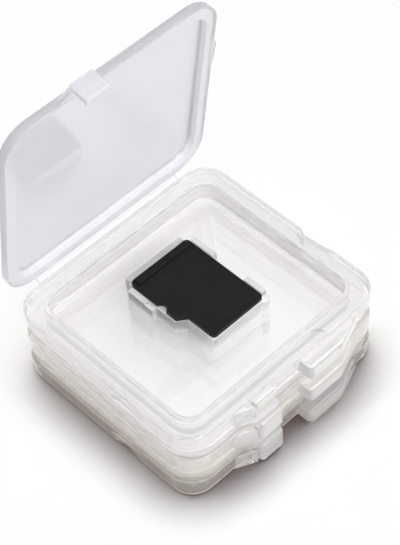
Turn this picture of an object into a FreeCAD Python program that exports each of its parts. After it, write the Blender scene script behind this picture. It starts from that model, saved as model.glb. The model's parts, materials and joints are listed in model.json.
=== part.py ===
import FreeCAD, Part
import os
from FreeCAD import Vector

# Three clear clamshell cases for a memory card, stacked, with the top one open on its card.
# Millimetres. +X runs along the hinges, +Y points to the hinge side, +Z is up.
# The origin is the middle of the bottom case's underside.

# Outside of one case, and the stack
WIDTH = 37.5
DEPTH = 34.9
CORNER = 4.2
PITCH = 5.08
TIERS = ["bottom", "middle", "top"]
OPEN_ANGLE = 80.7

# Smallest length that counts, and how far a cut runs past the face it opens
TINY = 0.001
PAST = 1.0

# Heights in one case, from its underside
FLOOR = 0.6
BAND_LOW = 1.25
RIM = 3.2
LIP_TOP = 3.46
JOIN_GAP = 0.06
STACK_GAP = 0.05
LID_LOW = RIM + JOIN_GAP
LID_TOP = PITCH - STACK_GAP

# Base tray
BASE_WALL = 0.75
FOOT_INSET = 0.25
FOOT_CORNER = 3.6
FOOT_ROUND = 0.3
BAND_ROUND = 0.2
RIM_ROUND = 0.2
TRAY_WIDTH = 31.4
TRAY_DEPTH = 28.8
TRAY_CORNER = 2.4
FLOOR_ROUND = 0.55
LIP_WIDTH = 0.75
LIP_ROUND = 0.12

# Lid
LID_WIDTH = 37.1
LID_CORNER = 4.9
MOUTH_WIDTH = 33.3
MOUTH_DEPTH = 30.9
MOUTH_CORNER = 3.2
PANEL = 0.65
PANEL_ROUND = 0.6
LID_TOP_ROUND = 0.7
LID_LOW_ROUND = 0.15

# Living hinge: a thin web on the fold line behind both rims
HINGE_OUT = 0.55
HINGE_Y = DEPTH / 2 + HINGE_OUT
HINGE_Z = RIM + JOIN_GAP / 2
WEB_RADIUS = 0.3
WEB_DROP = 0.4
WEB_HALF = 13.4

# Finger places: a scoop in each side of the base, a nail tab on the lid's right side
SCOOP_BACK = -1.5
SCOOP_CREST = -3.4
SCOOP_FRONT = -8.6
SCOOP_DEEP = 0.7
SCOOP_LEFT_TOP = 2.2
TAB_BACK = -2.4
TAB_CREST = -7.4
TAB_FRONT = -8.4
TAB_OUT = 0.6
TAB_LOW = LID_LOW + LID_LOW_ROUND
TAB_HIGH = LID_TOP - LID_TOP_ROUND
RAMP_SWELL = 0.75
OVERRUN = 0.05
ROOT = 0.6

# Latch on the front: a tongue on the lid, a catch and two guards on the base
FRONT = -DEPTH / 2
TONGUE_LEFT = -7.4
TONGUE_RIGHT = -3.1
TONGUE_FACE = FRONT - 2.05
TONGUE_THICK = 0.7
TONGUE_LOW = 0.5
TONGUE_HIGH = LID_LOW + 0.9
TONGUE_ROUND = 0.45
TONGUE_END_ROUND = 0.6
HOOK_HEIGHT = 0.5
HOOK_SLOPE = 0.1
CATCH_OUT = 0.95
CATCH_LOW = 1.15
CATCH_HIGH = 2.7
CATCH_INSET = 0.15
CATCH_ROUND = 0.45
LATCH_GAP = 0.08
FLARE_LENGTH = 3.0
FLARE_GAP = 0.15
FLARE_OUT = 1.35
FLARE_LOW = 0.2
FLARE_HIGH = RIM - 0.45
FLARE_ROUND = 0.35
SHELF_LEFT = 2.6
SHELF_RIGHT = 0.6
SHELF_LOW = LID_LOW + 0.15

# Thumb grip on the front and the notch in the rim above it
GRIP_LEFT = 2.0
GRIP_RIGHT = 8.2
GRIP_FLARE = 13.5
GRIP_OUT = 2.15
GRIP_TOP = 2.45
GRIP_ROUND = 0.6
GRIP_END_ROUND = 0.75
NOTCH_WIDTH = 4.8
NOTCH_REACH = 1.9
NOTCH_CORNER = 1.4
NOTCH_DEEP = 0.35

# Memory card, a standard small flash card, and where it lies in its case
CARD_X = 0.55
CARD_Y = 0.6
CARD_WIDTH = 11.0
CARD_LENGTH = 15.0
CARD_THICK = 0.7
CARD_TOP = 3.6
CARD_LOW = CARD_TOP - CARD_THICK
CARD_NECK = 9.6
CARD_CORNER = 0.6
CARD_EASE = 0.08
SHOULDER_WIDE = -1.6
SHOULDER_NECK = -2.6
SIDE_NOTCH_Y = 1.2
SIDE_NOTCH_RADIUS = 0.95
SIDE_NOTCH_OUT = 0.25
RIDGE_RISE = 0.2
RIDGE_LENGTH = 1.35
PAD_COUNT = 8
PAD_PITCH = 1.1
PAD_WIDTH = 0.8
PAD_LENGTH = 2.9
PAD_THICK = 0.05
PAD_MARGIN = 0.65

# Cradle that holds the card above the tray floor
SEAT = CARD_LOW - 0.03
SIDE_GAP = 0.15
WALL = 0.75
WALL_TOP = CARD_TOP + 0.08
FRAME_BAR = 1.2
FRAME_OUT = 0.2
LEDGE_OUT = 1.0
LEDGE_FRONT = 2.0
LEDGE_BACK = 6.9
LEDGE_RISE = 0.25
RISE_FRONT = 3.6
END_WALL_LEFT = -5.5
END_WALL_RIGHT = 4.9
SIDE_WALLS = [(2.5, 6.9), (-7.1, -3.5)]


def rounded_plate(width, depth, radius, low, high):
    """Flat plate with rounded upright corners, centred on the Z axis."""
    block = Part.makeBox(width, depth, high - low, Vector(-width / 2, -depth / 2, low))
    upright = [edge for edge in block.Edges if edge.BoundBox.ZLength > (high - low) / 2]
    return block.makeFillet(radius, upright)


def level_edges(shape, height):
    """Edges that lie flat at one height."""
    return [edge for edge in shape.Edges
            if edge.BoundBox.ZLength < TINY and abs(edge.CenterOfMass.z - height) < TINY]


def eased(shape, radius, height):
    """Round every edge that lies flat at one height."""
    return shape.makeFillet(radius, level_edges(shape, height))


def prism(points, low, high):
    """Upright prism on a closed outline of straight edges."""
    corners = [Vector(x, y, low) for x, y in points]
    face = Part.Face(Part.makePolygon(corners + corners[:1]))
    return face.extrude(Vector(0, 0, high - low))


def side_profile(points, left, right):
    """Bar along X on a closed outline of (y, z) points."""
    corners = [Vector(left, y, z) for y, z in points]
    face = Part.Face(Part.makePolygon(corners + corners[:1]))
    return face.extrude(Vector(right - left, 0, 0))


def post(left, right, front, back, low, high):
    """Upright block between two X, two Y and two Z values."""
    return Part.makeBox(right - left, back - front, high - low, Vector(left, front, low))


def ramp(start, crest, end, low, high, side):
    """Upright prism under one curved ramp and one short step, on the +X or -X side."""
    a, b, c = [Vector(side * x, y, low) for x, y in (start, crest, end)]
    middle = Vector(a.x + RAMP_SWELL * (b.x - a.x), (a.y + b.y) / 2, low)
    edges = [Part.Arc(a, middle, b).toShape(), Part.makeLine(b, c), Part.makeLine(c, a)]
    return Part.Face(Part.Wire(edges)).extrude(Vector(0, 0, high - low))


def finger_scoop(side, top):
    """Shallow hollow in the base's side, steep towards the hinge and easing out to the front."""
    edge = WIDTH / 2
    return ramp((edge + OVERRUN, SCOOP_FRONT), (edge - SCOOP_DEEP, SCOOP_CREST),
                (edge + OVERRUN, SCOOP_BACK), -PAST, top, side)


def finger_tab():
    """Nail tab on the lid's right side, over the scoop."""
    edge = LID_WIDTH / 2 - OVERRUN
    return ramp((edge, TAB_BACK), (edge + TAB_OUT, TAB_CREST), (edge, TAB_FRONT), TAB_LOW, TAB_HIGH, 1)


def flare():
    """Wedge that leads up to the left side of the latch."""
    left = TONGUE_LEFT - FLARE_LENGTH - FLARE_GAP
    right = TONGUE_LEFT - FLARE_GAP
    outline = [(left, FRONT + ROOT), (left, FRONT), (right, FRONT - FLARE_OUT), (right, FRONT + ROOT)]
    wedge = prism(outline, FLARE_LOW, FLARE_HIGH)
    slope = [edge for edge in level_edges(wedge, FLARE_HIGH) if edge.CenterOfMass.y < FRONT]
    return wedge.makeFillet(FLARE_ROUND, slope)


def grip():
    """Thumb grip on the right of the latch, running out to the wall on its right."""
    out = FRONT - GRIP_OUT
    outline = [(GRIP_LEFT, FRONT + ROOT), (GRIP_LEFT, out), (GRIP_RIGHT, out),
               (GRIP_FLARE, FRONT), (GRIP_FLARE, FRONT + ROOT)]
    block = prism(outline, 0, GRIP_TOP)
    ends = [edge for edge in block.Edges if edge.BoundBox.YMax < out + TINY and edge.BoundBox.XLength < TINY]
    block = block.makeFillet(GRIP_END_ROUND, ends)
    outer = [edge for edge in level_edges(block, GRIP_TOP) if edge.CenterOfMass.y < FRONT - ROOT / 2]
    return block.makeFillet(GRIP_ROUND, outer)


def rim_notch():
    """Shallow notch in the rim above the grip, for lifting the lid."""
    floor = RIM - NOTCH_DEEP
    notch = rounded_plate(NOTCH_WIDTH, 2 * NOTCH_REACH, NOTCH_CORNER, floor, RIM + PAST)
    notch.translate(Vector((GRIP_LEFT + GRIP_RIGHT) / 2, FRONT, 0))
    return notch


def latch_catch():
    """Block on the front wall that the tongue's hook snaps under, rounded above and at both ends."""
    out = FRONT - CATCH_OUT
    block = post(TONGUE_LEFT + CATCH_INSET, TONGUE_RIGHT - CATCH_INSET, out, FRONT + ROOT, CATCH_LOW, CATCH_HIGH)
    face = [edge for edge in block.Edges
            if edge.BoundBox.YMax < out + TINY and edge.BoundBox.ZMax > CATCH_HIGH - TINY]
    return block.makeFillet(CATCH_ROUND, face)


def core_groove():
    """Groove under the rim that keeps the moulding at one wall thickness."""
    inner = 2 * BASE_WALL
    outer = 2 * (FOOT_INSET + BASE_WALL)
    ring = rounded_plate(WIDTH - outer, DEPTH - outer, FOOT_CORNER - BASE_WALL, -PAST, RIM - BASE_WALL)
    core = rounded_plate(TRAY_WIDTH + inner, TRAY_DEPTH + inner, TRAY_CORNER + BASE_WALL, -PAST, RIM)
    return ring.cut(core)


def base_shell():
    """Stepped-in foot, wide band with a flat rim, and a thin lip round the opening."""
    inset = 2 * FOOT_INSET
    foot = rounded_plate(WIDTH - inset, DEPTH - inset, FOOT_CORNER, 0, BAND_LOW + BAND_ROUND)
    band = rounded_plate(WIDTH, DEPTH, CORNER, BAND_LOW, RIM)
    band = eased(eased(band, RIM_ROUND, RIM), BAND_ROUND, BAND_LOW)
    edge = 2 * LIP_WIDTH
    lip = rounded_plate(TRAY_WIDTH + edge, TRAY_DEPTH + edge, TRAY_CORNER + LIP_WIDTH, FLOOR, LIP_TOP)
    return eased(foot, FOOT_ROUND, 0).fuse([band, lip])


def base_tray():
    """Tray with its latch catch, guards, finger scoops and thumb notch."""
    body = base_shell().fuse([latch_catch(), flare(), grip()]).removeSplitter()
    pocket = rounded_plate(TRAY_WIDTH, TRAY_DEPTH, TRAY_CORNER, FLOOR, LIP_TOP + PAST)
    pocket = eased(pocket, FLOOR_ROUND, FLOOR)
    scoops = [finger_scoop(1, RIM + PAST), finger_scoop(-1, SCOOP_LEFT_TOP)]
    body = body.cut([pocket, core_groove(), rim_notch()] + scoops)
    return eased(body, LIP_ROUND, LIP_TOP)


def latch_shelf():
    """Shelf on the lid's front edge that carries the tongue."""
    front = TONGUE_FACE + TONGUE_THICK + LATCH_GAP
    left = TONGUE_LEFT - SHELF_LEFT
    right = TONGUE_RIGHT + SHELF_RIGHT
    outline = [(left, FRONT + ROOT), (left, FRONT + ROOT / 2), (TONGUE_LEFT, front),
               (TONGUE_RIGHT, front), (right, FRONT + ROOT / 2), (right, FRONT + ROOT)]
    return prism(outline, SHELF_LOW, TONGUE_HIGH)


def lid():
    """Shallow dish that closes on the rim, with its nail tab and the latch shelf."""
    shell = eased(rounded_plate(LID_WIDTH, DEPTH, LID_CORNER, LID_LOW, LID_TOP), LID_TOP_ROUND, LID_TOP)
    ceiling = LID_TOP - PANEL
    recess = rounded_plate(MOUTH_WIDTH, MOUTH_DEPTH, MOUTH_CORNER, LID_LOW - PAST, ceiling)
    dish = eased(shell.cut(eased(recess, PANEL_ROUND, ceiling)), LID_LOW_ROUND, LID_LOW)
    return dish.fuse([latch_shelf(), finger_tab()]).removeSplitter()


def latch_tongue():
    """Flexible tongue that hangs from the lid's front edge and hooks under the catch."""
    inner = TONGUE_FACE + TONGUE_THICK
    tip = FRONT - CATCH_OUT - LATCH_GAP
    hook_top = TONGUE_LOW + HOOK_HEIGHT
    outline = [(TONGUE_FACE, TONGUE_LOW), (tip, TONGUE_LOW), (tip, hook_top - HOOK_SLOPE),
               (inner, hook_top), (inner, TONGUE_HIGH), (TONGUE_FACE, TONGUE_HIGH)]
    bar = side_profile(outline, TONGUE_LEFT, TONGUE_RIGHT)
    ends = [edge for edge in bar.Edges if edge.BoundBox.YMax < TONGUE_FACE + TINY
            and edge.BoundBox.XLength < TINY]
    bar = bar.makeFillet(TONGUE_END_ROUND, ends)
    face_edges = [edge for edge in bar.Edges if edge.BoundBox.YMin < TONGUE_FACE + TINY
                  and edge.BoundBox.ZLength < TINY and edge.BoundBox.YLength < TINY]
    return bar.makeFillet(TONGUE_ROUND, face_edges)


def hinge_web():
    """Thin moulded web on the fold line, joined to the base's back wall."""
    bead = Part.makeCylinder(WEB_RADIUS, 2 * WEB_HALF, Vector(-WEB_HALF, HINGE_Y, HINGE_Z), Vector(1, 0, 0))
    low = RIM - WEB_DROP
    strip = post(-WEB_HALF, WEB_HALF, DEPTH / 2, HINGE_Y, low - RIM_ROUND, low + WEB_DROP / 2)
    return bead.fuse(strip).removeSplitter()


def cradle_frame():
    """Open frame under the card, level with its underside."""
    half, end = CARD_WIDTH / 2, CARD_LENGTH / 2
    left, right = half - CARD_NECK - FRAME_OUT, half + SIDE_GAP
    bar, wide = left + FRAME_BAR, -half - FRAME_OUT
    frame = post(left, right, -end - FRAME_OUT, end, FLOOR, SEAT)
    hollow = post(bar, right - FRAME_BAR, FRAME_BAR - end, end - FRAME_BAR, FLOOR, SEAT + PAST)
    ledge = post(-half - LEDGE_OUT, bar, LEDGE_FRONT, LEDGE_BACK, FLOOR, SEAT)
    shoulder = prism([(bar, LEDGE_FRONT), (wide, LEDGE_FRONT), (wide, SHOULDER_WIDE),
                      (left, SHOULDER_NECK), (bar, SHOULDER_NECK)], FLOOR, SEAT)
    foot = Part.makeCylinder(WALL, SEAT - FLOOR, Vector(right, -end, FLOOR))
    return frame.cut(hollow).fuse([ledge, shoulder, foot])


def cradle_walls():
    """Low walls that keep the card in its place."""
    half, end = CARD_WIDTH / 2, CARD_LENGTH / 2
    near = half + SIDE_GAP
    back = end + SIDE_GAP
    walls = [post(near, near + WALL, front, rear, FLOOR, WALL_TOP) for front, rear in SIDE_WALLS]
    walls.append(post(END_WALL_LEFT, END_WALL_RIGHT, back, back + WALL, FLOOR, WALL_TOP))
    walls.append(post(END_WALL_LEFT, END_WALL_RIGHT, end - WALL, back, FLOOR, SEAT))
    walls.append(post(-half - LEDGE_OUT, -near, RISE_FRONT, LEDGE_BACK, FLOOR, SEAT + LEDGE_RISE))
    return walls


def card_cradle():
    """Frame and walls, moulded in one on the tray's floor."""
    cradle = cradle_frame().fuse(cradle_walls()).removeSplitter()
    cradle.translate(Vector(CARD_X, CARD_Y, 0))
    return cradle


def card_outline():
    """Plan of the card: neck at the contact end, sloped shoulder, small notch, rounded corners."""
    half, end = CARD_WIDTH / 2, CARD_LENGTH / 2
    neck = half - CARD_NECK
    plate = prism([(half, -end), (half, end), (-half, end), (-half, SHOULDER_WIDE),
                   (neck, SHOULDER_NECK), (neck, -end)], CARD_LOW, CARD_TOP)
    corners = [edge for edge in plate.Edges
               if edge.BoundBox.ZLength > CARD_THICK / 2 and abs(edge.CenterOfMass.y) > end - CARD_EASE]
    plate = plate.makeFillet(CARD_CORNER, corners)
    centre = Vector(-half - SIDE_NOTCH_OUT, SIDE_NOTCH_Y, CARD_LOW - PAST)
    return plate.cut(Part.makeCylinder(SIDE_NOTCH_RADIUS, CARD_THICK + 2 * PAST, centre))


def contact_pads():
    """Row of gilt pads let into the card's underside near its contact end."""
    first = CARD_WIDTH / 2 - PAD_MARGIN - PAD_WIDTH - (PAD_COUNT - 1) * PAD_PITCH
    front = PAD_MARGIN - CARD_LENGTH / 2
    pads = [Part.makeBox(PAD_WIDTH, PAD_LENGTH, PAD_THICK, Vector(first + i * PAD_PITCH, front, CARD_LOW))
            for i in range(PAD_COUNT)]
    return Part.makeCompound(pads)


def card_body():
    """Thin card with a raised finger ridge along its outer end and pockets for the pads."""
    half, end = CARD_WIDTH / 2, CARD_LENGTH / 2
    top = CARD_TOP + RIDGE_RISE
    ridge = post(CARD_CORNER - half, half - CARD_CORNER, end - RIDGE_LENGTH, end - CARD_EASE, CARD_LOW, top)
    ridge = eased(ridge, CARD_EASE, top)
    plate = eased(card_outline(), CARD_EASE, CARD_TOP)
    return plate.fuse(ridge).removeSplitter().cut(contact_pads())


def seated(shape):
    """The card's place in the top case."""
    placed = shape.copy()
    placed.translate(Vector(CARD_X, CARD_Y, PITCH * TIERS.index("top")))
    return placed


def in_tier(shape, tier, swings):
    """One piece of one case, lifted to its tier; the top case's lid pieces are swung open."""
    placed = shape.copy()
    if swings and tier == "top":
        placed.rotate(Vector(0, HINGE_Y, HINGE_Z), Vector(1, 0, 0), -OPEN_ANGLE)
    placed.translate(Vector(0, 0, PITCH * TIERS.index(tier)))
    return placed


def all_nodes():
    """Every piece by its node name."""
    fixed = {"base_tray": base_tray(), "card_cradle": card_cradle(), "hinge_web": hinge_web()}
    swinging = {"lid": lid(), "latch_tongue": latch_tongue()}
    nodes = {}
    for tier in TIERS:
        for piece, shape in fixed.items():
            nodes[tier + "_" + piece] = in_tier(shape, tier, False)
        for piece, shape in swinging.items():
            nodes[tier + "_" + piece] = in_tier(shape, tier, True)
    nodes["card_body"] = seated(card_body())
    nodes["card_contacts"] = seated(contact_pads())
    return nodes


os.makedirs("parts", exist_ok=True)
for node, shape in all_nodes().items():
    print(node, len(shape.Solids), shape.isValid(), round(shape.Volume, 3))
    shape.exportStep("parts/" + node + ".step")
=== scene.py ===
import json
import math

import bmesh
import bpy
from mathutils import Matrix, Vector


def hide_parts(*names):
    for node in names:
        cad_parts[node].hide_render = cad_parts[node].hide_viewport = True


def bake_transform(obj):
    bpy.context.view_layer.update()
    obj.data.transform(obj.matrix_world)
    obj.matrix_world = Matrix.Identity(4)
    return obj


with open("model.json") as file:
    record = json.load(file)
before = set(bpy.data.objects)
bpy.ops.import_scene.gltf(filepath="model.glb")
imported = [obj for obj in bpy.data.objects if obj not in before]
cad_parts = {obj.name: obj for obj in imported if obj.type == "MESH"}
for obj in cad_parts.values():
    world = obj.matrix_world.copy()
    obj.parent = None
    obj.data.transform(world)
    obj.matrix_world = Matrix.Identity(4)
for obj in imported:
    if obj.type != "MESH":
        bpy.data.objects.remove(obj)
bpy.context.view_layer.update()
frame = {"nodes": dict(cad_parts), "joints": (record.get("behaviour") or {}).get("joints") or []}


# Trays: the lower half of each case, moulded in one shot of clear polypropylene with its foot,
# rim, lip, latch catch and thumb grip. The mould is polished, so the faces are glossy. The walls
# are milkier than the floor, the grip and the catch. In the lower cases the walls are darker and
# warmer: painted shade, standing in for the stack's shadow seen through them.

TIERS = ("bottom", "middle", "top")
MM = 0.001

FLOOR_COLOUR = (0.97, 0.969, 0.968)
FLOOR_CLEAR = 0.86
# Wall colours by tier: the lower cases' darker, warmer walls are painted shade, not the plastic's
# tone.
BOTTOM_WALL_PAINTED_SHADE = (0.73, 0.675, 0.595)
MIDDLE_WALL_PAINTED_SHADE = (0.86, 0.84, 0.818)
TOP_WALL = (0.88, 0.872, 0.876)
WALL_CLEAR = 0.6
WALL_FROM = (15.5 * MM, 14.2 * MM)
WALL_EDGE = 0.4 * MM
WALL_MILK = 0.4
GRIP_FROM = 17.3 * MM
GRIP_MILK = 0.25

PLASTIC_IOR = 1.49
LAMP_THROUGH = (0.962, 0.959, 0.956, 1)
CLOUDS_PER_MM = 0.12
CLOUD_RANGE = (0.35, 0.7)
CLOUDS_LIGHTEN = 0.015
SCRATCHES_PER_MM = 0.9
SCRATCH_STRETCH = (1, 0.06, 1)
SCRATCH_RANGE = (0.58, 0.7)
HAZE_PER_MM = 0.5
GLOSS_DETAIL = 4
POLISHED = 0.02
HAZE_DULLS = 0.02
SCRATCHES_DULL = 0.02
RIPPLES_PER_MM = 0.22
RIPPLE_DEEP = 0.05 * MM
RIPPLE_SHOWS = 0.01


class Wire:
    """One socket of a material. Arithmetic on it adds Math nodes, and add() makes any other node."""

    def __init__(self, tree, socket=None):
        self.tree = tree
        self.socket = socket

    def add(self, kind, settings=None, sockets=None, out=0):
        node = self.tree.nodes.new(kind)
        for name, value in (settings or {}).items():
            setattr(node, name, value)
        for name, value in (sockets or {}).items():
            if isinstance(value, Wire):
                self.tree.links.new(value.socket, node.inputs[name])
            else:
                node.inputs[name].default_value = value
        return Wire(self.tree, node.outputs[out] if len(node.outputs) else None)

    def maths(self, operation, *values):
        return self.add("ShaderNodeMath", {"operation": operation}, dict(enumerate(values)))

    def __add__(self, other):
        return self.maths("ADD", self, other)

    def __sub__(self, other):
        return self.maths("SUBTRACT", self, other)

    def __rsub__(self, other):
        return self.maths("SUBTRACT", other, self)

    def __mul__(self, other):
        return self.maths("MULTIPLY", self, other)

    __radd__ = __add__
    __rmul__ = __mul__


def new_material(name):
    """An empty material and a wire to build its nodes on."""
    material = bpy.data.materials.new(name)
    material.use_nodes = True
    material.node_tree.nodes.clear()
    return material, Wire(material.node_tree)


def ramp(value, low, high):
    """0 below low, 1 above high, smooth in between."""
    return value.add("ShaderNodeMapRange", {"interpolation_type": "SMOOTHSTEP"},
                     {"Value": value, "From Min": low, "From Max": high})


def blended(share, first, second):
    """Colour between two colours."""
    return share.add("ShaderNodeMix", {"data_type": "RGBA"}, {0: share, 6: first, 7: second}, 2)


def grain(place, per_mm, stretch=(1, 1, 1), detail=2):
    """Noise with about this many grains per millimetre, drawn out along an axis by stretch."""
    scaled = place.add("ShaderNodeVectorMath", {"operation": "MULTIPLY"}, {0: place, 1: stretch})
    return place.add("ShaderNodeTexNoise", None,
                     {"Vector": scaled, "Scale": per_mm / MM, "Detail": detail})


def coordinate(place, axis):
    """One coordinate of a place: 0 for X, 1 for Y, 2 for Z."""
    return place.add("ShaderNodeSeparateXYZ", None, {"Vector": place}, axis)


def past(distance, start, edge):
    """0 up to a start, rising to 1 over a soft edge."""
    return ramp(distance, start, start + edge)


def beyond(place, halves, edge):
    """0 inside a rectangle round the Z axis, 1 outside it, with a soft edge."""
    sides = [past(place.maths("ABSOLUTE", coordinate(place, axis)), half, edge)
             for axis, half in enumerate(halves)]
    return place.maths("MAXIMUM", *sides)


def polypropylene(wire, colour, clear):
    """Polished clear plastic: clouds of flow in the colour, hair scratches and haze in the gloss."""
    place = wire.add("ShaderNodeTexCoord", out="Object")
    clouds = ramp(grain(place, CLOUDS_PER_MM), *CLOUD_RANGE)
    scratches = ramp(grain(place, SCRATCHES_PER_MM, SCRATCH_STRETCH, GLOSS_DETAIL), *SCRATCH_RANGE)
    haze = grain(place, HAZE_PER_MM, detail=GLOSS_DETAIL)
    ripple = place.add("ShaderNodeBump", None, {
        "Strength": RIPPLE_SHOWS, "Distance": RIPPLE_DEEP, "Height": grain(place, RIPPLES_PER_MM)})
    cloudy = [share + CLOUDS_LIGHTEN for share in colour]
    return wire.add("ShaderNodeBsdfPrincipled", None, {
        "Base Color": blended(clouds, (*colour, 1), (*cloudy, 1)),
        "Roughness": POLISHED + HAZE_DULLS * haze + SCRATCHES_DULL * scratches,
        "IOR": PLASTIC_IOR,
        "Transmission Weight": clear,
        "Normal": ripple})


def lamp_passes(wire, surface):
    """The material's surface, with most of the lamp's light let straight through."""
    lamplight = wire.add("ShaderNodeLightPath", out="Is Shadow Ray")
    pane = wire.add("ShaderNodeBsdfTransparent", None, {"Color": LAMP_THROUGH})
    both = wire.add("ShaderNodeMixShader", None, {0: lamplight, 1: surface, 2: pane})
    wire.add("ShaderNodeOutputMaterial", None, {"Surface": both})


def clear_plastic(name, colour, clear):
    """One even clear plastic."""
    material, wire = new_material(name)
    lamp_passes(wire, polypropylene(wire, colour, clear))
    return material


def case_plastic(name, wall_colour_with_tier_shade):
    """Clear plastic milky in the walls, less so in the front grip and catch; the walls hold painted
    shade.
    """
    material, wire = new_material(name)
    place = wire.add("ShaderNodeTexCoord", out="Object")
    front = past(0 - coordinate(place, 1), GRIP_FROM, WALL_EDGE)
    outer = beyond(place, WALL_FROM, WALL_EDGE)
    floor = polypropylene(wire, FLOOR_COLOUR, FLOOR_CLEAR)
    wall = polypropylene(wire, wall_colour_with_tier_shade, WALL_CLEAR)
    grip = polypropylene(wire, TOP_WALL, WALL_CLEAR)
    shell = wire.add("ShaderNodeMixShader", None,
                     {0: WALL_MILK * outer * (1 - front), 1: floor, 2: wall})
    case = wire.add("ShaderNodeMixShader", None, {0: GRIP_MILK * front, 1: shell, 2: grip})
    lamp_passes(wire, case)
    return material


def finish_with(name, material):
    """Give a CAD node its finish."""
    slots = frame["nodes"][name].data.materials
    slots.clear()
    slots.append(material)


shaded_tier_plastics = {}
# One copy of the plastic per tier, its walls darker and warmer lower down: painted shade of the
# stack.
for tier, wall_colour_with_tier_shade in zip(TIERS, (BOTTOM_WALL_PAINTED_SHADE, MIDDLE_WALL_PAINTED_SHADE, TOP_WALL)):
    shaded_tier_plastics[tier] = case_plastic(tier + "_case_plastic_shaded_by_tier", wall_colour_with_tier_shade)
    finish_with(tier + "_base_tray", shaded_tier_plastics[tier])


# Card cradles: low walls and a hollow frame that stand on each tray's floor, part of the same
# shot. Their edges are struck sharp by the mould, with only a hair of rounding.

CRADLE_COLOUR = (0.97, 0.968, 0.965)
CRADLE_CLEAR = 0.66
WELD_WITHIN = 0.002 * MM
EDGE_ROUND = 0.06 * MM
EDGE_STEPS = 2
EDGE_ANGLE = math.radians(40)


def soften_edges(name):
    """A hair of rounding along a CAD node's sharp edges, with points that coincide welded first."""
    node = frame["nodes"][name]
    weld = node.modifiers.new("weld", "WELD")
    weld.merge_threshold = WELD_WITHIN
    bevel = node.modifiers.new("edge_round", "BEVEL")
    bevel.width = EDGE_ROUND
    bevel.segments = EDGE_STEPS
    bevel.limit_method = "ANGLE"
    bevel.angle_limit = EDGE_ANGLE


cradle_plastic = clear_plastic("cradle_plastic", CRADLE_COLOUR, CRADLE_CLEAR)
for tier in TIERS:
    finish_with(tier + "_card_cradle", cradle_plastic)
    soften_edges(tier + "_card_cradle")


# Lids: shallow dishes in the same plastic, polished flat. The open one stands against the
# light and shows the milk in its panel, faintly blue. The shut ones take their trays' plastic,
# painted shade included.

LID_COLOUR = (0.85, 0.85, 0.89)
LID_CLEAR = 0.65

lid_plastic = clear_plastic("lid_plastic", LID_COLOUR, LID_CLEAR)
for tier in TIERS:
    finish_with(tier + "_lid", lid_plastic if tier == "top" else shaded_tier_plastics[tier])


# Latch tongues: short flexible tabs that hang from each lid's front edge and hook under the
# catch on the tray. Moulded with the lid, and a little greyer because they are thick.

LATCH_COLOUR = (0.88, 0.872, 0.87)
LATCH_CLEAR = 0.7

latch_plastic = clear_plastic("latch_plastic", LATCH_COLOUR, LATCH_CLEAR)
for tier in TIERS:
    finish_with(tier + "_latch_tongue", lid_plastic if tier == "top" else latch_plastic)


# Living hinges: a film along the back of each case, thinned at the fold so that the moulding
# can bend there. It joins the tray to the lid.

FILM_COLOUR = (0.925, 0.925, 0.94)
FILM_CLEAR = 0.75
FILM_HALF = 13.4 * MM
FILM_REACH = 0.62 * MM
FILM_RISE = 0.46 * MM
FILM_THICK = 0.3 * MM
FOLD_THICK = 0.14 * MM
FOLD_HALF = 0.25 * MM
FILM_STEPS = 24
FILM_ENDS = ((0.0, 0.4), (0.08 * MM, 0.85), (0.2 * MM, 1.0))

hinges = {joint["child"]: joint for joint in frame["joints"] if joint["name"].endswith("_lid_hinge")}


def smooth(share):
    """Ease from 0 to 1."""
    share = min(1.0, max(0.0, share))
    return share * share * (3 - 2 * share)


def film_line(opened):
    """Middle line of the film round the fold, as (out, up) from the fold, with its half thickness."""
    line = []
    for step in range(FILM_STEPS + 1):
        along = 2 * step / FILM_STEPS - 1
        out, up = -FILM_REACH * abs(along), FILM_RISE * along
        turn = opened * smooth(0.5 + along * FILM_REACH / (2 * FOLD_HALF))
        fold = math.exp(-(along * FILM_REACH / FOLD_HALF) ** 2)
        thick = FILM_THICK + (FOLD_THICK - FILM_THICK) * fold
        line.append((out * math.cos(turn) + up * math.sin(turn),
                     up * math.cos(turn) - out * math.sin(turn), thick / 2))
    return line


def film_outline(line):
    """Closed outline of the film's section, one side out and the other back."""
    sides = ([], [])
    for step, (out, up, half) in enumerate(line):
        before, after = line[max(step - 1, 0)], line[min(step + 1, len(line) - 1)]
        run = Vector((after[0] - before[0], after[1] - before[1])).normalized()
        for side, points in zip((1, -1), sides):
            points.append((out, up, Vector((run.y, -run.x)) * half * side))
    return sides[0] + sides[1][::-1]


def hinge_film(name, fold, opened):
    """The film as one closed mesh along X, drawn in a little at both ends."""
    outline = film_outline(film_line(opened))
    stations = [(inset - FILM_HALF, scale) for inset, scale in FILM_ENDS]
    stations += [(FILM_HALF - inset, scale) for inset, scale in reversed(FILM_ENDS)]
    mesh = bmesh.new()
    rings = []
    for x, scale in stations:
        rings.append([mesh.verts.new((x, fold.y + out + scale * off.x, fold.z + up + scale * off.y))
                      for out, up, off in outline])
    count = len(outline)
    for first, second in zip(rings, rings[1:]):
        for i in range(count):
            j = (i + 1) % count
            mesh.faces.new((first[i], first[j], second[j], second[i]))
    for ring in (rings[0], rings[-1]):
        for i in range(count // 2 - 1):
            mesh.faces.new((ring[i], ring[i + 1], ring[count - 2 - i], ring[count - 1 - i]))
    bmesh.ops.recalc_face_normals(mesh, faces=mesh.faces[:])
    for face in mesh.faces:
        face.smooth = True
    data = bpy.data.meshes.new(name)
    mesh.to_mesh(data)
    mesh.free()
    piece = bpy.data.objects.new(name, data)
    bpy.context.scene.collection.objects.link(piece)
    return piece


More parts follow.
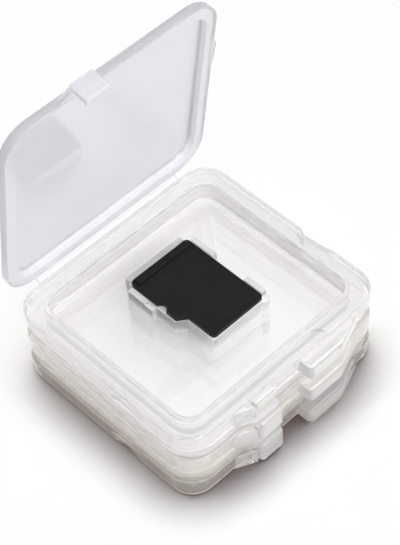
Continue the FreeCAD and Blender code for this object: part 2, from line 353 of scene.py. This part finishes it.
film_plastic = clear_plastic("film_plastic", FILM_COLOUR, FILM_CLEAR)
for tier in TIERS:
    hinge = hinges[tier + "_lid"]
    # At rest a lid stands open by as much as its hinge can still close.
    opened = -math.radians(hinge["range_deg"][0])
    fold = Vector(hinge["pos_m"])
    film = hinge_film(tier + "_hinge_film", fold, opened)
    film.data.materials.append(film_plastic)
    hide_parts(tier + "_hinge_web")
    tier + "_case"
    tier + "_lid"
    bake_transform(film)


# Memory card: a thin plate moulded in black resin round its chips, satin on top, with a raised
# ridge along its outer end to pull it by. The face is bare.

RESIN = (0.0065, 0.0052, 0.0068, 1)
RESIN_RUBBED = (0.0095, 0.0078, 0.0098, 1)
RESIN_ROUGH = 0.36
RESIN_SHEEN = 0.15
RESIN_DETAIL = 3
RUBS_PER_MM = 0.25
RUB_RANGE = (0.4, 0.75)
RUBS_ROUGHEN = 0.08
PORES_PER_MM = 9
PORE_DEEP = 0.01 * MM
PORES_SHOW = 0.25
PORES_ROUGHEN = 0.06


def card_resin(name):
    """Black moulding resin: fine satin grain, faint rubbed patches."""
    material, wire = new_material(name)
    place = wire.add("ShaderNodeTexCoord", out="Object")
    rubbed = ramp(grain(place, RUBS_PER_MM, detail=RESIN_DETAIL), *RUB_RANGE)
    pores = grain(place, PORES_PER_MM, detail=RESIN_DETAIL)
    satin = place.add("ShaderNodeBump", None,
                      {"Strength": PORES_SHOW, "Distance": PORE_DEEP, "Height": pores})
    surface = wire.add("ShaderNodeBsdfPrincipled", None, {
        "Base Color": blended(rubbed, RESIN, RESIN_RUBBED),
        "Roughness": RESIN_ROUGH + RUBS_ROUGHEN * rubbed + PORES_ROUGHEN * pores,
        "Specular IOR Level": RESIN_SHEEN,
        "Normal": satin})
    wire.add("ShaderNodeOutputMaterial", None, {"Surface": surface})
    return material


finish_with("card_body", card_resin("card_resin"))


# Card contacts: a row of copper pads on the card's underside, plated with gold and let into
# the resin. The plating is brushed along the way the card slides in.

GOLD = (0.83, 0.62, 0.26, 1)
GOLD_WORN = (0.9, 0.72, 0.38, 1)
GOLD_ROUGH = 0.18
WEAR_PER_MM = 12
WEAR_STRETCH = (1, 0.05, 1)
WEAR_DETAIL = 3
WEAR_ROUGHENS = 0.2


def gold_plate(name):
    """Thin gold plating with fine wear lines along the card."""
    material, wire = new_material(name)
    place = wire.add("ShaderNodeTexCoord", out="Object")
    wear = grain(place, WEAR_PER_MM, WEAR_STRETCH, WEAR_DETAIL)
    surface = wire.add("ShaderNodeBsdfPrincipled", None, {
        "Base Color": blended(wear, GOLD, GOLD_WORN),
        "Metallic": 1.0,
        "Roughness": GOLD_ROUGH + WEAR_ROUGHENS * wear})
    wire.add("ShaderNodeOutputMaterial", None, {"Surface": surface})
    return material


finish_with("card_contacts", gold_plate("gold_plate"))


# Table: a plain pale sheet, lit by one broad lamp from the front and above and by a soft white
# room. Painted shade darkens its colour close to the stack and under its walls, on the left and in
# front.

TABLE_HALF = 3000 * MM
TABLE_DROP = 0.01 * MM
TABLE_CORNERS = ((-1, -1), (1, -1), (1, 1), (-1, 1))
PAPER = (0.95, 0.95, 0.95, 1)
SHADE = (0.1, 0.07, 0.066, 1)
SHADE_UNDER = (0.06, 0.035, 0.03, 1)
SHADE_REACH = 8 * MM
SHADE_LEAN = (0.3, 0.45, 0.82)
SHADE_RANGE = (0.02, 0.85)
SHADE_SAMPLES = 16
LIT_UNDER = (14.6 * MM, 13.3 * MM)
LIT_EDGE = 2.0 * MM
STACK_HALF = (17.5 * MM, 16.2 * MM)
STACK_EDGE = 1.5 * MM
LAMP_FROM = (0.05, -0.5, 0.86)
LAMP_SPREAD = math.radians(75)
LAMP_LEVEL = 2.15
ROOM_COLOUR = (1, 0.995, 0.99, 1)
ROOM_LEVEL = 0.45
WHITE = (1, 1, 1, 1)

sheet_mesh = bpy.data.meshes.new("table")
corners = [(x * TABLE_HALF, y * TABLE_HALF, -TABLE_DROP) for x, y in TABLE_CORNERS]
sheet_mesh.from_pydata(corners, [], [(0, 1, 2, 3)])
table = bpy.data.objects.new("table", sheet_mesh)
bpy.context.scene.collection.objects.link(table)
table_paper, wire = new_material("table_paper")
place = wire.add("ShaderNodeTexCoord", out="Object")
leaning = wire.add("ShaderNodeCombineXYZ", None, dict(enumerate(SHADE_LEAN)))
# The sky's occlusion darkens the sheet's colour: a painted contact shadow, darkest under the walls.
open_sky = wire.add("ShaderNodeAmbientOcclusion", {"samples": SHADE_SAMPLES},
                    {"Distance": SHADE_REACH, "Normal": leaning}, "AO")
sides = [past(0 - coordinate(place, axis), start, LIT_EDGE) for axis, start in enumerate(LIT_UNDER)]
shaded = ramp(1 - open_sky, *SHADE_RANGE) * wire.maths("MAXIMUM", *sides)
shade = blended(beyond(place, STACK_HALF, STACK_EDGE), SHADE_UNDER, SHADE)
paper = wire.add("ShaderNodeBsdfDiffuse", None, {"Color": blended(shaded, PAPER, shade)})
wire.add("ShaderNodeOutputMaterial", None, {"Surface": paper})
sheet_mesh.materials.append(table_paper)

# The lamp lights the plastic but doesn't show through it.
lamp_data = bpy.data.lights.new("lamp", "SUN")
lamp_data.energy = LAMP_LEVEL
lamp_data.angle = LAMP_SPREAD
lamp = bpy.data.objects.new("lamp", lamp_data)
lamp.visible_transmission = False
lamp.rotation_mode = "QUATERNION"
lamp.rotation_quaternion = Vector(LAMP_FROM).to_track_quat("Z", "Y")
bpy.context.scene.collection.objects.link(lamp)

# Seen straight, in a reflection or through clear plastic, the room is plain white. What reaches
# it by way of a matt face finds it dimmer.
room = bpy.data.worlds.new("room")
room.use_nodes = True
room.node_tree.nodes.clear()
wire = Wire(room.node_tree)
light = wire.add("ShaderNodeBackground", None, {"Color": ROOM_COLOUR, "Strength": ROOM_LEVEL})
white = wire.add("ShaderNodeBackground", None, {"Color": WHITE, "Strength": 1.0})
seen = wire.add("ShaderNodeLightPath", out="Is Camera Ray")
seen = seen + wire.add("ShaderNodeLightPath", out="Is Glossy Ray")
seen = seen + wire.add("ShaderNodeLightPath", out="Is Transmission Ray")
first_hand = 1 - wire.maths("MINIMUM", wire.add("ShaderNodeLightPath", out="Diffuse Depth"), 1.0)
both = wire.add("ShaderNodeMixShader", None,
                {0: wire.maths("MINIMUM", seen, 1.0) * first_hand, 1: light, 2: white})
wire.add("ShaderNodeOutputWorld", None, {"Surface": both})
bpy.context.scene.world = room


# Camera: it stands high on the front left and looks down on the open case through a long lens,
# as the photograph does. Light is followed far enough to pass the many walls of the stack.

EYE = Vector((-104.0, -118.1, 208.7)) * MM
AZIMUTH, ELEVATION, ROLL = (math.radians(angle) for angle in (-41.606, 50.439, -3.904))
LENS = 120.9
SENSOR = 36
NEAR = 10 * MM
PASSES = 32

back = Vector((math.sin(AZIMUTH) * math.cos(ELEVATION), -math.cos(AZIMUTH) * math.cos(ELEVATION),
               math.sin(ELEVATION)))
level = Vector((math.cos(AZIMUTH), math.sin(AZIMUTH), 0))
right = level * math.cos(ROLL) + back.cross(level) * math.sin(ROLL)
turned = Matrix((right, back.cross(right), back)).transposed().to_4x4()
camera_data = bpy.data.cameras.new("camera")
camera_data.lens = LENS
camera_data.sensor_width = SENSOR
camera_data.clip_start = NEAR
camera = bpy.data.objects.new("camera", camera_data)
camera.matrix_world = Matrix.Translation(EYE) @ turned
scene = bpy.context.scene
scene.collection.objects.link(camera)
scene.camera = camera
scene.view_settings.view_transform = "Standard"
scene.cycles.max_bounces = PASSES
scene.cycles.transmission_bounces = PASSES
scene.cycles.transparent_max_bounces = PASSES
